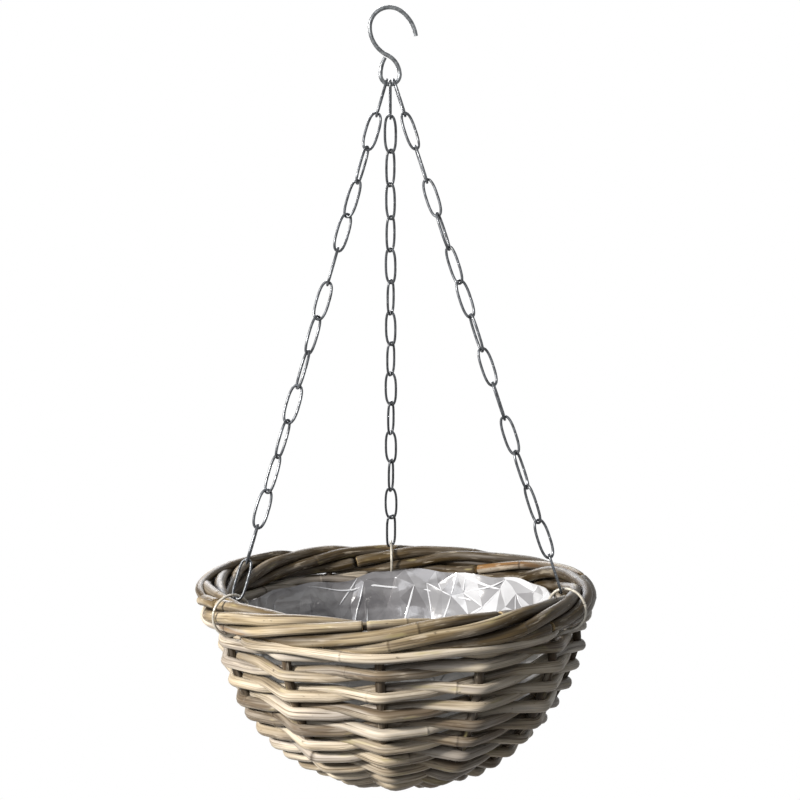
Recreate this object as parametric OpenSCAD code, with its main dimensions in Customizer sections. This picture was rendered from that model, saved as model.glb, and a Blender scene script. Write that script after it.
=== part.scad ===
// Hanging basket: an S-hook, three link chains, three wire rings and a woven rattan bowl with a film liner.
// The origin is the point where the hook rests on its bracket, and +Z is up.

/* [Hook] */
// Thickness of the hook's wire
hook_wire = 3.1; // [2.6:0.1:3.6]
// Radius of the crook that hangs on the bracket
crook_r = 14.4; // [12.6:0.2:17]
// How far the crook bends before its lip, in degrees
crook_turn = 125; // [110:5:140]
// Radius of the wider bend at the hook's lip
lip_r = 26; // [22:1:32]
// How far the lip bends, in degrees
lip_turn = 48; // [30:2:56]
// Radius of the eye that holds the chains
eye_r = 7; // [6.4:0.2:8]
// Radius of the neck above the eye
neck_r = 15.8; // [14:0.2:18]
// Height of the crook's centre above the eye's centre
crook_rise = 34.2; // [31:0.2:40]
// Radius of the eye's closing leg
leg_r = 25; // [20:1:32]
// How far the closing leg bends, in degrees
leg_turn = 30; // [20:1:30]

// How far the wire's clinched bands stand out where one bend meets the next
hook_band = 0.05; // [0.03:0.01:0.1]
// Length of such a band
hook_band_len = 0.8; // [0.6:0.1:1.5]

/* [Chains] */
// Links in each of the three chains
link_count = 15; // [15:2:19]
// Distance from one link to the next
link_pitch = 26; // [22:0.5:30]
// Thickness of the links' wire
link_wire = 2; // [1.6:0.1:2.2]
// Outside width of a link
link_w = 10; // [9:0.2:11]
// Free play where two links meet
link_play = 0.3; // [0.25:0.05:0.4]
// Distance between two chains where they share the eye
eye_share = 3.2; // [2.8:0.1:3.6]
// Thickness of the rings' wire
ring_wire = 2; // [1.6:0.1:2.2]
// Inside diameter of a ring
ring_bore = 27; // [26:0.5:32]
// Gap where the ring's wire ends meet
ring_cut = 0.6; // [0.3:0.1:1]

/* [Basket] */
// Radius of the rim, at the middle of its border
rim_r = 138; // [110:1:170]
// Thickness of the rods in the border
border_rod = 8.9; // [8:0.1:9]
// Number of rods rolled into the border
border_rods = 5; // [3:1:5]
// Thickness of the whole border
border_d = 24.5; // [24.5:0.1:25.4]
// Thickness of the woven rods
rod_d = 7.6; // [6:0.1:8.4]
// Thickness of the long rods under the border
rim_rod = 8.6; // [7:0.1:9]
// Thickness of the stakes
stake_d = 6.4; // [5:0.1:6.6]
// How far a stake's growth ring stands out
stake_band = 0.15; // [0.05:0.05:0.2]
// Length of a stake's growth ring
stake_band_len = 3; // [2:0.5:5]
// How far the stakes stand inside the middle of the border
stake_inset = 4.4; // [4:0.1:5]
// How far the stakes' tops reach up into the border
stake_nest = 2.2; // [0:0.1:2.2]
// Lean of the wall under the border, in degrees
wall_lean = 7; // [4:0.5:10]
// Bend radius of the wall
wall_bend = 178; // [150:2:220]
// How far the wall bends, in degrees
wall_turn = 17.5; // [14:0.5:22]
// Radius of the level middle of the base, where the bowl's bend ends
base_r = 6; // [4:0.5:10]
// Distance from one woven row to the next, along the stakes
row_pitch = 15.3; // [13:0.1:15.6]
// Distance along a stake from its top to the long rods
rim_rod_down = 12.4; // [11:0.1:14]
// Distance along a stake from its top to the first woven row
first_row_down = 29.5; // [27:0.1:33]
// Radius of the crossed sticks in the middle of the base
cross_r = 14; // [13:0.2:17]
// Thickness of the liner's film
liner_t = 0.6; // [0.4:0.1:1]
// Free play between pieces that lie against each other
lay_play = 0.2; // [0.15:0.05:0.4]

/* [Hidden] */
$fn = 48;
sides = ["left", "right", "rear"];
azimuths = [210, 330, 90];
// Turn of each link about its chain, in degrees from facing the front, from the hook down
left_turns = [90, 5, 70, -35, 27, 90, -12, 50, -68, -8, 60, -48, 15, 88, -28];
right_turns = [90, 28, 90, -28, 70, -48, 25, -78, 18, 80, -28, 60, -58, 15, 85];
rear_turns = [90, -30, 48, -48, 48, -40, 58, -40, 52, -30, 60, -30, 66, -18, 42];
turns = [left_turns, right_turns, rear_turns];
// Sticks in each of the base's two layers; each end of a stick carries a stake
layer_sticks = 3;
stake_count = 4 * layer_sticks;

// Heights are measured from the hook's resting point
hook_drop = eye_r + crook_rise + crook_r - hook_wire / 2;
neck_in = neck_r - eye_r;
lobe_in = crook_r - neck_in;
// Radius of the hook's back that meets the neck and the crook without a kink
back_r = (lobe_in * lobe_in + crook_rise * crook_rise - neck_r * neck_r) / (2 * (neck_r + lobe_in));
back_turn = atan2(crook_rise, back_r - lobe_in);

// Straight line from the eye's wire to the middle of the border
ring_r = (ring_bore + ring_wire) / 2;
ring_seat = (ring_bore - border_d) / 2 - link_play;
link_len = link_pitch + link_wire + link_play;
first_top = -(hook_wire + link_wire) / 2 - link_play;
ring_hold = (link_wire + ring_wire) / 2 + link_play;
chain_len = (link_count - 1) * link_pitch + first_top + link_len - ring_hold;
hang_len = chain_len + ring_r + ring_seat;
rim_drop = sqrt(hang_len * hang_len - rim_r * rim_r);
rim_z = -hook_drop - rim_drop;
side_rise = eye_r - sqrt(eye_r * eye_r - eye_share * eye_share);

// Top of each chain on the eye, and its line from there to the border
tops = [[-eye_share, 0, side_rise - hook_drop], [eye_share, 0, side_rise - hook_drop], [0, 0, -hook_drop]];
function rim_point(side) = [rim_r * cos(azimuths[side]), rim_r * sin(azimuths[side]), rim_z];
function line(side) = rim_point(side) - tops[side];
function line_azimuth(side) = atan2(line(side).y, line(side).x);
function line_lean(side) = acos(-line(side).z / norm(line(side)));
function ring_down(side) = norm(line(side)) - ring_seat;
function step(side) = (ring_down(side) - ring_r + ring_hold - first_top - link_len) / (link_count - 1);

// Middle line of a stake: an upper bend for the wall, then one for the bowl that ends level where the base begins
border_core = (border_d - border_rod) / 2;
stake_top = [rim_r - stake_inset, rim_z - border_d / 2 + stake_nest];
bowl_turn = 90 - wall_lean - wall_turn;
wall_centre = stake_top - wall_bend * [cos(wall_lean), -sin(wall_lean)];
bowl_start = wall_centre + wall_bend * [cos(wall_lean + wall_turn), -sin(wall_lean + wall_turn)];
bowl_bend = (bowl_start.x - base_r) / cos(wall_lean + wall_turn);
bowl_centre = bowl_start - bowl_bend * [cos(wall_lean + wall_turn), -sin(wall_lean + wall_turn)];
base_z = bowl_centre.y - bowl_bend;
wall_run = wall_bend * wall_turn * PI / 180;
bowl_run = bowl_bend * bowl_turn * PI / 180;
function slope(down) = wall_lean + (down < wall_run
  ? down / wall_bend * 180 / PI
  : wall_turn + (down - wall_run) / bowl_bend * 180 / PI);
function out(angle) = [cos(angle), -sin(angle)];
// Point at a distance down the stake, and a distance out from its middle line
function wall_point(down, off) = down < wall_run
  ? wall_centre + (wall_bend + off) * out(slope(down))
  : bowl_centre + (bowl_bend + off) * out(slope(down));

strand_off = (stake_d + rod_d) / 2 + lay_play;
rim_rod_off = (stake_d + rim_rod) / 2 + lay_play;
liner_off = -stake_d / 2 - max(rod_d, rim_rod) - 2 * lay_play;
// Angle between two stakes, and the turn that puts none of them behind a ring
stake_step = 360 / stake_count;
stake_first = -7;
// The stakes stop where the crossed sticks begin
stake_stop = cross_r + (stake_d / 2 * sin(stake_step) + lay_play) / cos(stake_step);
bowl_stop = 90 - asin((stake_stop - base_r) / bowl_bend);
// Rows are woven down the stakes for as long as the next one stays a rod's thickness clear of the crossed sticks
row_count = 1 + floor((wall_run + bowl_run + base_r - stake_stop - rod_d - first_row_down) / row_pitch);
// They make up five bands from the rim down, each with its share of the rows, which is two in this basket
row_bands = 5;
function rows_above(band) = floor(band * row_count / row_bands);

function two_digits(k) = str(k < 10 ? "0" : "", k);
function link_name(side, k) = str(sides[side], "_link_", two_digits(k));
function rows_name(band) = str("weave_rows_", two_digits(2 * band + 1), "_", two_digits(2 * band + 2));

module arc(r, turn, d) rotate_extrude(angle = turn) translate([r, 0]) circle(d = d);

// Wire or rod bent in the XY plane, from the origin along +Y, as a row of [radius, turn] bends; + is to the left.
// A low band goes round it where each bend starts
module bent_wire(d, band, band_len, bends) {
  if (len(bends) > 0) {
    r = bends[0][0];
    turn = bends[0][1];
    side = sign(turn);
    mirror([side < 0 ? 1 : 0, 0, 0]) translate([-r, 0, 0]) arc(r, abs(turn), d);
    translate([-side * r, 0, 0]) rotate([0, 0, turn]) translate([side * r, 0, 0]) {
      if (len(bends) > 1) rotate([90, 0, 0]) cylinder(d = d + 2 * band, h = band_len, center = true);
      bent_wire(d, band, band_len, [for (i = [1:1:len(bends) - 1]) bends[i]]);
    }
  }
}

module ring_of(point, d) translate([0, 0, point.y]) rotate_extrude() translate([point.x, 0]) circle(d = d);

module s_hook() color("silver") translate([0, 0, -hook_drop]) rotate([90, 0, 0]) {
  rotate([0, 0, -90]) bent_wire(hook_wire, hook_band, hook_band_len, [
    [eye_r, 90], [neck_r, back_turn], [back_r, -back_turn], [crook_r, -crook_turn], [lip_r, -lip_turn]]);
  rotate([0, 90, 0]) cylinder(d = hook_wire + 2 * hook_band, h = hook_band_len, center = true);
  rotate([0, 0, 90]) bent_wire(hook_wire, hook_band, hook_band_len, [[eye_r, -90], [leg_r, -leg_turn]]);
}

// Puts its children at a distance down a chain's line, with Z along the line
module on_line(side, down) translate(tops[side]) rotate([0, 0, line_azimuth(side)])
  rotate([0, -line_lean(side), 0]) translate([0, 0, -down]) children();

module link() {
  bend_r = (link_w - link_wire) / 2;
  leg = link_len - 2 * bend_r;
  rotate([90, 0, 0]) for (end = [0, 180]) rotate([0, 0, end]) {
    translate([0, leg / 2, 0]) arc(bend_r, 180, link_wire);
    translate([bend_r, 0, 0]) rotate([90, 0, 0]) cylinder(d = link_wire, h = leg, center = true);
  }
}

module chain_link(side, k) color("silver")
  on_line(side, first_top + link_len / 2 + (k - 1) * step(side))
    rotate([0, 0, turns[side][(k - 1) % len(turns[side])] - line_azimuth(side)]) link();

// The ring's cut stands level with the border, on its outer side
module ring(side) color("silver") on_line(side, ring_down(side)) rotate([90, 0, 0]) {
  cut_turn = 2 * asin((ring_cut / 2) / ring_r);
  rotate([0, 0, cut_turn / 2]) arc(ring_r, 360 - cut_turn, ring_wire);
}

// The border's rods lie round its middle, one of them where the rings pull
module border() color("tan") for (k = [0:border_rods - 1])
  ring_of([rim_r, rim_z] + border_core * out(90 - line_lean(2) + k * 360 / border_rods), border_rod);

module rim_rods() color("burlywood") for (side = [-1, 1])
  ring_of(wall_point(rim_rod_down, side * rim_rod_off), rim_rod);

// Each woven row clasps the stakes between an outer and an inner rod
module weave_rows(band) color("tan") for (k = [rows_above(band):1:rows_above(band + 1) - 1]) for (side = [-1, 1])
  ring_of(wall_point(first_row_down + k * row_pitch, side * strand_off), rod_d);

module stakes() color("peru") for (k = [0:stake_count - 1]) rotate([0, 0, stake_first + k * stake_step])
  translate([stake_top.x, 0, stake_top.y]) rotate([90, 0, 0]) rotate([0, 0, 180 - wall_lean])
    bent_wire(stake_d, stake_band, stake_band_len, [[wall_bend, -wall_turn], [bowl_bend, -bowl_stop + wall_lean + wall_turn]]);

// Two layers of sticks cross in the middle of the base, each stick in line with two stakes
module base_sticks() color("peru") for (layer = [0, 1]) for (k = [-(layer_sticks - 1) / 2:(layer_sticks - 1) / 2])
  rotate([0, 0, stake_first + layer * 90])
    translate([0, cross_r * sin(k * stake_step), base_z + (layer - 0.5) * (stake_d + lay_play)])
      rotate([0, 90, 0]) cylinder(d = stake_d, h = 2 * cross_r * cos(k * stake_step), center = true);

module liner() color("whitesmoke") {
  steps = 9;
  run = wall_run + bowl_run;
  outer = [for (i = [0:steps]) wall_point(i * run / steps, liner_off)];
  inner = [for (i = [steps:-1:0]) wall_point(i * run / steps, liner_off - liner_t)];
  floor_z = outer[steps].y;
  rotate_extrude() polygon(concat(outer, [[0, floor_z], [0, floor_z + liner_t]], inner));
}

s_hook();
for (side = [0:2]) {
  for (k = [1:link_count]) chain_link(side, k);
  ring(side);
}
border();
rim_rods();
for (band = [0:row_bands - 1]) weave_rows(band);
stakes();
base_sticks();
liner();
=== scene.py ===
"""Finish of a hanging rattan basket: weathered rods, galvanised wire and a clear film liner, in metres."""
import math
import random
from collections import namedtuple

import bmesh
import bpy
import numpy as np
from mathutils import Matrix, Vector, geometry, noise


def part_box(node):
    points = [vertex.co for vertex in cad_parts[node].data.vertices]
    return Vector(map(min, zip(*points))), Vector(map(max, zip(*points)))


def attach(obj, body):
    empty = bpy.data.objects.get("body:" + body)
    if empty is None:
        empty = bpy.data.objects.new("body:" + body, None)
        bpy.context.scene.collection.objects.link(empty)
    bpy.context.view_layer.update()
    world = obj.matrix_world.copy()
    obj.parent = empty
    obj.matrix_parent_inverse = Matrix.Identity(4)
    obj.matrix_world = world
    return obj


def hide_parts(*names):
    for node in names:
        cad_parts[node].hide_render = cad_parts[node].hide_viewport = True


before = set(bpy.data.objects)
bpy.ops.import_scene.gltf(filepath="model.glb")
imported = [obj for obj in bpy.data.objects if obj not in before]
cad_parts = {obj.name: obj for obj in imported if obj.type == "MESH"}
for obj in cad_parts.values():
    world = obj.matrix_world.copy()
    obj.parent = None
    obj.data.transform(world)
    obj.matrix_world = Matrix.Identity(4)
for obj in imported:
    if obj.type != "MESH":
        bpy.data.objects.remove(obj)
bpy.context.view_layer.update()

MM = 0.001
TURN = 2 * math.pi

# Sizes of the basket, as its solids have them
RIM_R = 138 * MM
BORDER_ROD = 8.9 * MM
BORDER_CORE = 7.8 * MM
BORDER_RODS = 5
BORDER_TURNS = 3
ROD = 7.6 * MM
RIM_ROD = 8.6 * MM
STAKE = 6.4 * MM
PLAY = 0.2 * MM
STAKES = 12
FIRST_STAKE = math.radians(-7)
STAKE_STEP = TURN / STAKES
STAKE_INSET = 4.4 * MM
STAKE_NEST = 2.2 * MM
WALL_LEAN = math.radians(7)
WALL_TURN = math.radians(17.5)
WALL_BEND = 178 * MM
BASE_R = 6 * MM
ROWS = 10
ROW_PITCH = 15.3 * MM
FIRST_ROW_DOWN = 29.5 * MM
CROSS_R = 14 * MM
LINK_WIRE = 2 * MM
RING_AZIMUTHS = [math.radians(a) for a in (210, 330, 90)]

# The rim's height is the middle of the border's box
border_low, border_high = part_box("border")
RIM_Z = (border_low[2] + border_high[2]) / 2
BORDER_D = BORDER_ROD + 2 * BORDER_CORE
TOP_SLOPE = WALL_LEAN + WALL_TURN
STAKE_TOP = (RIM_R - STAKE_INSET, RIM_Z - BORDER_D / 2 + STAKE_NEST)


def outward(slope):
    """Radius and height of one step out from the wall where it has this slope."""
    return math.cos(slope), -math.sin(slope)


def from_point(point, distance, slope):
    """The point that lies a distance out from another, in radius and height."""
    step = outward(slope)
    return point[0] + distance * step[0], point[1] + distance * step[1]


WALL_CENTRE = from_point(STAKE_TOP, -WALL_BEND, WALL_LEAN)
BOWL_START = from_point(WALL_CENTRE, WALL_BEND, TOP_SLOPE)
BOWL_BEND = (BOWL_START[0] - BASE_R) / math.cos(TOP_SLOPE)
BOWL_CENTRE = from_point(BOWL_START, -BOWL_BEND, TOP_SLOPE)
WALL_RUN = WALL_BEND * WALL_TURN
BOWL_RUN = BOWL_BEND * (math.pi / 2 - TOP_SLOPE)
WHOLE_RUN = WALL_RUN + BOWL_RUN


def wall_slope(down):
    """How far the wall leans in at a distance down the stakes' middle line."""
    if down < WALL_RUN:
        return WALL_LEAN + down / WALL_BEND
    return TOP_SLOPE + (down - WALL_RUN) / BOWL_BEND


def wall_point(down, off):
    """Radius and height at a distance down the stakes' middle line and a distance out from it."""
    if down < WALL_RUN:
        return from_point(WALL_CENTRE, WALL_BEND + off, wall_slope(down))
    return from_point(BOWL_CENTRE, BOWL_BEND + off, wall_slope(down))


def round_axis(radius, azimuth, height):
    """The point at this radius, azimuth and height."""
    return radius * math.cos(azimuth), radius * math.sin(azimuth), height


def rising(value, start, end):
    """0 up to the start, then evenly up to 1 at the end."""
    return np.clip((value - start) / (end - start), 0, 1)


# Colours and node helpers

def linear(code):
    """Linear colour of an sRGB hex code."""
    parts = [int(code[i:i + 2], 16) / 255 for i in (0, 2, 4)]
    return [p / 12.92 if p <= 0.04045 else ((p + 0.055) / 1.055) ** 2.4 for p in parts] + [1.0]


def add(tree, kind, inputs=None, stops=(), **settings):
    """Adds a shader node, sets its properties and (position, hex) stops, and fills or links its inputs."""
    made = tree.nodes.new("ShaderNode" + kind)
    for name, value in settings.items():
        setattr(made, name, value)
    for key, value in (inputs or {}).items():
        if isinstance(value, bpy.types.NodeSocket):
            tree.links.new(value, made.inputs[key])
        else:
            made.inputs[key].default_value = value
    for i, (position, code) in enumerate(stops):
        points = made.color_ramp.elements
        point = points[i] if i < len(points) else points.new(position)
        point.position = position
        point.color = linear(code)
    return made


def new_material(name):
    """An empty node material with its output node."""
    material = bpy.data.materials.new(name)
    material.use_nodes = True
    tree = material.node_tree
    tree.nodes.clear()
    return material, tree, add(tree, "OutputMaterial")


# Rattan: a hard silky skin over coarse fibres, greyed by weather, ringed with leaf scars

def rattan(name, tones, grey, rough):
    """Weathered whole rattan. Its grain runs along each rod, so it reads the rod's own straightened place."""
    material, tree, out = new_material(name)
    place = add(tree, "Attribute", attribute_name="rod_place").outputs["Vector"]
    tone, scar, cut, shade_and_dirt = (add(tree, "Attribute", attribute_name="rod_" + kind).outputs["Fac"]
                             for kind in ("tone", "scar", "cut", "shade_and_dirt"))

    def stretched(along, across, detail=2.0):
        """Noise in patches this long and this wide, in metres, on the unrolled skin."""
        scale = (1 / along, 1 / across, 1 / across)
        scaled = add(tree, "VectorMath", {0: place, 1: scale}, operation="MULTIPLY").outputs[0]
        return add(tree, "TexNoise", {"Vector": scaled, "Scale": 1.0, "Detail": detail}).outputs["Fac"]

    def patches(along, across, low, high, detail=2.0):
        """A mask of such noise: 0 where it is under low, 1 where it is over high."""
        grain = stretched(along, across, detail)
        return add(tree, "MapRange", {"Value": grain, "From Min": low, "From Max": high}).outputs["Result"]

    def stained(under, mask, code, strength=1.0):
        """The colour under it, changed to this one where the mask is set, by this share at most."""
        share = add(tree, "Math", {0: mask, 1: strength}, operation="MULTIPLY").outputs[0]
        return add(tree, "MixRGB", {"Fac": share, "Color1": under, "Color2": linear(code)}).outputs["Color"]

    # Each rod has its own tone, and drifts from it every 9 cm or so
    drift = patches(90 * MM, 9 * MM, 0.3, 0.7)
    most_drift = 0.36
    shifted = add(tree, "Math", {0: drift, 1: 2 * most_drift, 2: tone}, operation="MULTIPLY_ADD").outputs[0]
    tone_here = add(tree, "Math", {0: shifted, 1: most_drift}, operation="SUBTRACT").outputs[0]
    colour = add(tree, "ValToRGB", {"Fac": tone_here}, stops=tones).outputs["Color"]
    # Rain and sun leave silver-grey patches on the skin
    colour = stained(colour, patches(34 * MM, 5 * MM, 0.46, 0.68, 3.0), "aca69d", grey)
    # Here and there the skin stays straw-green
    colour = stained(colour, patches(26 * MM, 6 * MM, 0.62, 0.74), "b5ab7c", 0.55)
    # Flakes of skin about 16 mm long have lifted off and show pale fibre
    flake = patches(16 * MM, 3 * MM, 0.6, 0.68, 3.0)
    colour = stained(colour, flake, "e0d6c4", 0.4)
    # Fibres are 0.4 mm thick; they're drawn 1.2 mm wide so that they show
    fibre = stretched(60 * MM, 1.2 * MM, 3.0)
    tints = [(0.28, "8f867b"), (0.5, "eae7e2"), (0.72, "ffffff")]
    streaks = add(tree, "ValToRGB", {"Fac": fibre}, stops=tints).outputs["Color"]
    colour = add(tree, "MixRGB", {"Fac": 1.0, "Color1": colour, "Color2": streaks},
                 blend_type="MULTIPLY").outputs["Color"]
    # Splits along the grain are dark
    split = patches(70 * MM, 1.9 * MM, 0.64, 0.7)
    colour = stained(colour, split, "4a3d2c", 0.85)
    # Dark mildew specks
    colour = stained(colour, patches(5 * MM, 1.8 * MM, 0.69, 0.74), "40362a", 0.65)
    colour = stained(colour, scar, "3a2d1f")
    # Painted shade, with dirt, darkens the hollows between rods and their inner side, and painted shade
    # darkens the basket's right side
    colour = stained(colour, shade_and_dirt, "2e261c", 0.85)
    # A cut end shows pale pith with dark pores
    pith = stained(linear("b59f78"), patches(1.0, 0.7 * MM, 0.55, 0.66), "5a4a35")
    colour = add(tree, "MixRGB", {"Fac": cut, "Color1": colour, "Color2": pith}).outputs["Color"]

    # Fibres stand up, flakes and splits are sunk
    height = add(tree, "Math", {0: fibre, 1: 0.55}, operation="MULTIPLY").outputs[0]
    for mask, depth in ((flake, -0.35), (split, -0.8)):
        height = add(tree, "Math", {0: mask, 1: depth, 2: height}, operation="MULTIPLY_ADD").outputs[0]
    bump = add(tree, "Bump", {"Strength": 0.9, "Distance": 0.45 * MM, "Height": height})
    dull = add(tree, "MapRange", {"Value": drift, "To Min": rough - 0.06, "To Max": rough + 0.12})
    skin = add(tree, "BsdfPrincipled", {
        "Base Color": colour, "Roughness": dull.outputs["Result"], "IOR": 1.5, "Specular IOR Level": 0.25,
        "Normal": bump.outputs["Normal"]})
    tree.links.new(skin.outputs["BSDF"], out.inputs["Surface"])
    return material


# Galvanised wire: drawn steel dipped in zinc, which dulls to mottled grey

def galvanised(name, light, dark, rough, bare):
    """Zinc-coated steel wire: a dull oxide skin, through which these least and most shares of metal show."""
    material, tree, out = new_material(name)
    place = add(tree, "TexCoord").outputs["Object"]
    # Zinc crystals on thin wire are 2 to 3 mm across
    spangle = add(tree, "TexNoise", {"Vector": place, "Scale": 1 / (2.6 * MM), "Detail": 3.0}).outputs["Fac"]
    # Handling scuffs about 0.7 mm across
    scuff = add(tree, "TexNoise", {"Vector": place, "Scale": 1 / (0.7 * MM), "Detail": 2.0}).outputs["Fac"]
    colour = add(tree, "ValToRGB", {"Fac": spangle}, stops=[(0.3, dark), (0.7, light)]).outputs["Color"]
    dull = add(tree, "MapRange", {"Value": scuff, "From Min": 0.3, "From Max": 0.7,
                                  "To Min": rough - 0.08, "To Max": rough + 0.12})
    worn = add(tree, "MapRange", {"Value": spangle, "From Min": 0.35, "From Max": 0.65,
                                  "To Min": bare[0], "To Max": bare[1]})
    bump = add(tree, "Bump", {"Strength": 0.25, "Distance": 0.06 * MM, "Height": scuff})
    wire = add(tree, "BsdfPrincipled", {
        "Base Color": colour, "Metallic": worn.outputs["Result"], "Roughness": dull.outputs["Result"],
        "Normal": bump.outputs["Normal"]})
    tree.links.new(wire.outputs["BSDF"], out.inputs["Surface"])
    return material


# Polyethylene film: clear and glossy when new, whitened along its creases

def film(name):
    """Clear blown film, dusty all over, milky in patches and white along its folds; its milkiness also holds
    painted light, and its outer side painted shade.
    """
    material, tree, out = new_material(name)
    place = add(tree, "TexCoord").outputs["Object"]
    milk_and_light = add(tree, "Attribute", attribute_name="film_milk_and_light").outputs["Fac"]
    dust = add(tree, "TexNoise", {"Vector": place, "Scale": 1 / (22 * MM), "Detail": 4.0}).outputs["Fac"]
    ripple = add(tree, "TexNoise", {"Vector": place, "Scale": 1 / (9 * MM), "Detail": 2.0}).outputs["Fac"]
    haze = add(tree, "MapRange", {"Value": dust, "From Min": 0.3, "From Max": 0.7,
                                  "To Min": 0.955, "To Max": 0.985})
    cover = add(tree, "Math", {0: haze.outputs["Result"], 1: milk_and_light}, operation="MAXIMUM").outputs[0]
    # Its outer side, against the rods, is painted dark brown as shade
    back = add(tree, "NewGeometry").outputs["Backfacing"]
    plain = add(tree, "MixRGB", {"Fac": back, "Color1": linear("636265"), "Color2": linear("29241d")})
    colour = add(tree, "MixRGB", {"Fac": milk_and_light, "Color1": plain.outputs["Color"], "Color2": linear("d9dbdf")})
    bump = add(tree, "Bump", {"Strength": 0.4, "Distance": 0.8 * MM, "Height": ripple})
    skin = add(tree, "BsdfPrincipled", {
        "Base Color": colour.outputs["Color"], "Roughness": 0.16, "IOR": 1.51, "Specular IOR Level": 0.9,
        "Alpha": cover, "Normal": bump.outputs["Normal"]})
    # Light that falls on one side of the film shines through to the other
    glow = add(tree, "BsdfTranslucent", {"Color": linear("dcd8d0")})
    both = add(tree, "MixShader", {0: 0.1, 1: skin.outputs["BSDF"], 2: glow.outputs["BSDF"]})
    tree.links.new(both.outputs["Shader"], out.inputs["Surface"])
    return material


BORDER_SKIN = rattan("rattan_border_weathered", [
    (0.0, "43361f"), (0.25, "6b5a3d"), (0.5, "94856a"), (0.72, "bcae93"), (0.86, "a39b90"),
    (1.0, "8e693c")], grey=0.4, rough=0.5)
WOVEN_SKIN = rattan("rattan_woven_weathered", [
    (0.0, "6f6252"), (0.25, "988b77"), (0.5, "bbae98"), (0.8, "dbd1c0"),
    (1.0, "b0a89f")], grey=0.6, rough=0.46)
STAKE_SKIN = rattan("rattan_stake_dark", [
    (0.0, "2c2318"), (0.4, "403424"), (0.7, "554632"), (1.0, "4a4138")], grey=0.2, rough=0.6)
HOOK_WIRE = galvanised("wire_galvanised_hook", "7c7f81", "3e4144", rough=0.26, bare=(0.4, 0.8))
CHAIN_WIRE = galvanised("wire_galvanised_chain", "63666a", "26292c", rough=0.26, bare=(0.4, 0.8))
# The rings' zinc has gone chalky
RING_WIRE = galvanised("wire_galvanised_ring", "c4bfb3", "8f8a80", rough=0.4, bare=(0.05, 0.3))
FILM = film("film_polyethylene_clear")


def new_piece(name, points, faces, material):
    """A piece with a mesh of these points and faces, and one material."""
    mesh = bpy.data.meshes.new(name)
    mesh.from_pydata([tuple(p) for p in points], [], faces)
    mesh.materials.append(material)
    made = bpy.data.objects.new(name, mesh)
    bpy.context.collection.objects.link(made)
    return made


def tube_faces(count, sides, closed=False):
    """Faces between the rings of a tube, whose last ring joins its first if it is closed."""
    quads = []
    for i in range(count if closed else count - 1):
        m = (i + 1) % count
        for j in range(sides):
            k = (j + 1) % sides
            quads.append((i * sides + j, i * sides + k, m * sides + k, m * sides + j))
    return quads


def running_length(points):
    """Distance along a line of points, from its start to each of them."""
    return np.concatenate([[0.0], np.cumsum(np.linalg.norm(np.diff(points, axis=0), axis=1))])


def at_stations(stations, run, points):
    """The places along a line of points that lie at these distances from its start."""
    return np.stack([np.interp(stations, run, points[:, i]) for i in range(points.shape[1])], axis=1)


# Rods: every rattan piece is a swept tube with its own thick and thin places

# A rod's seed gives it the same random forms in each run. The border's seeds are 60 to 195, the laid rods'
# 200 to 240, the rows' from 280, the stakes' from 499, the binding's from 600, and the film's is 900

# One rod's mesh, and for each point its place on the unrolled rod, its tone, scar and cut
Rod = namedtuple("Rod", "points faces places tones scars cuts")
POINT_PARTS = ("points", "places", "tones", "scars", "cuts")

# Distance between the points of a rod's line
LINE_STEP = 2 * MM
# Leaf scars: distances in mm from a rod's start to the first and from one to the next, and what stays clear
SCAR_FIRST = (10, 120)
SCAR_STEPS = (110, 300)
SCAR_FROM_END = 8 * MM
# Rings of points close to each scar, which its ridge and groove need
SCAR_RINGS = [x * MM for x in (-5, -2.6, -1.4, -0.7, 0, 0.6, 1.2, 2.0, 4.0)]
LEAST_RING_STEP = 0.25 * MM
# A scar's knuckle, ridge and groove: half length, how far on it lies, and its share of the rod's radius
SCAR_FORMS = ((3.4 * MM, 0, 0.045), (0.7 * MM, 0, 0.035), (0.6 * MM, 1.3 * MM, -0.05))
# Its dark ring: half length, how far on it lies, and how dark a fresh, a dull or a worn one is
DARK_HALF, DARK_ON = 1.1 * MM, 1.2 * MM
DARK_STRENGTHS = (0.15, 0.4, 0.9)
# Slow swellings along a rod: wavelength and share of its radius
SWELLINGS = ((113 * MM, 0.028), (41 * MM, 0.018))
# Flat sides: how many, how slowly they wind along the rod, and their share of its radius
FLATS = ((2, 50 * MM, 0.03), (3, 90 * MM, 0.018), (5, -30 * MM, 0.012))
# A cut end: the saw rounds its edge to this share of the radius, and its pith takes up this share
SAWN_SHARE = 0.9
PITH_SHARE = 0.8


def scar_places(length, seed):
    """Distances of the leaf scars along a rod, 11 to 30 cm apart."""
    draw = random.Random(seed)
    found = []
    at = draw.uniform(*SCAR_FIRST) * MM
    while at < length - SCAR_FROM_END:
        found.append(at)
        at += draw.uniform(*SCAR_STEPS) * MM
    return found


def across_line(centres, stations):
    """Two directions across a line at each station, which turn no more than the line itself does."""
    ahead = np.gradient(centres, stations, axis=0)
    ahead /= np.linalg.norm(ahead, axis=1)[:, None]
    side = np.cross(ahead[0], (0.0, 0.0, 1.0))
    if np.linalg.norm(side) < 0.1:
        side = np.cross(ahead[0], (1.0, 0.0, 0.0))
    sides_at = []
    for direction in ahead:
        side = side - direction * np.dot(side, direction)
        side /= np.linalg.norm(side)
        sides_at.append(side)
    across = np.array(sides_at)
    return across, np.cross(ahead, across)


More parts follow.
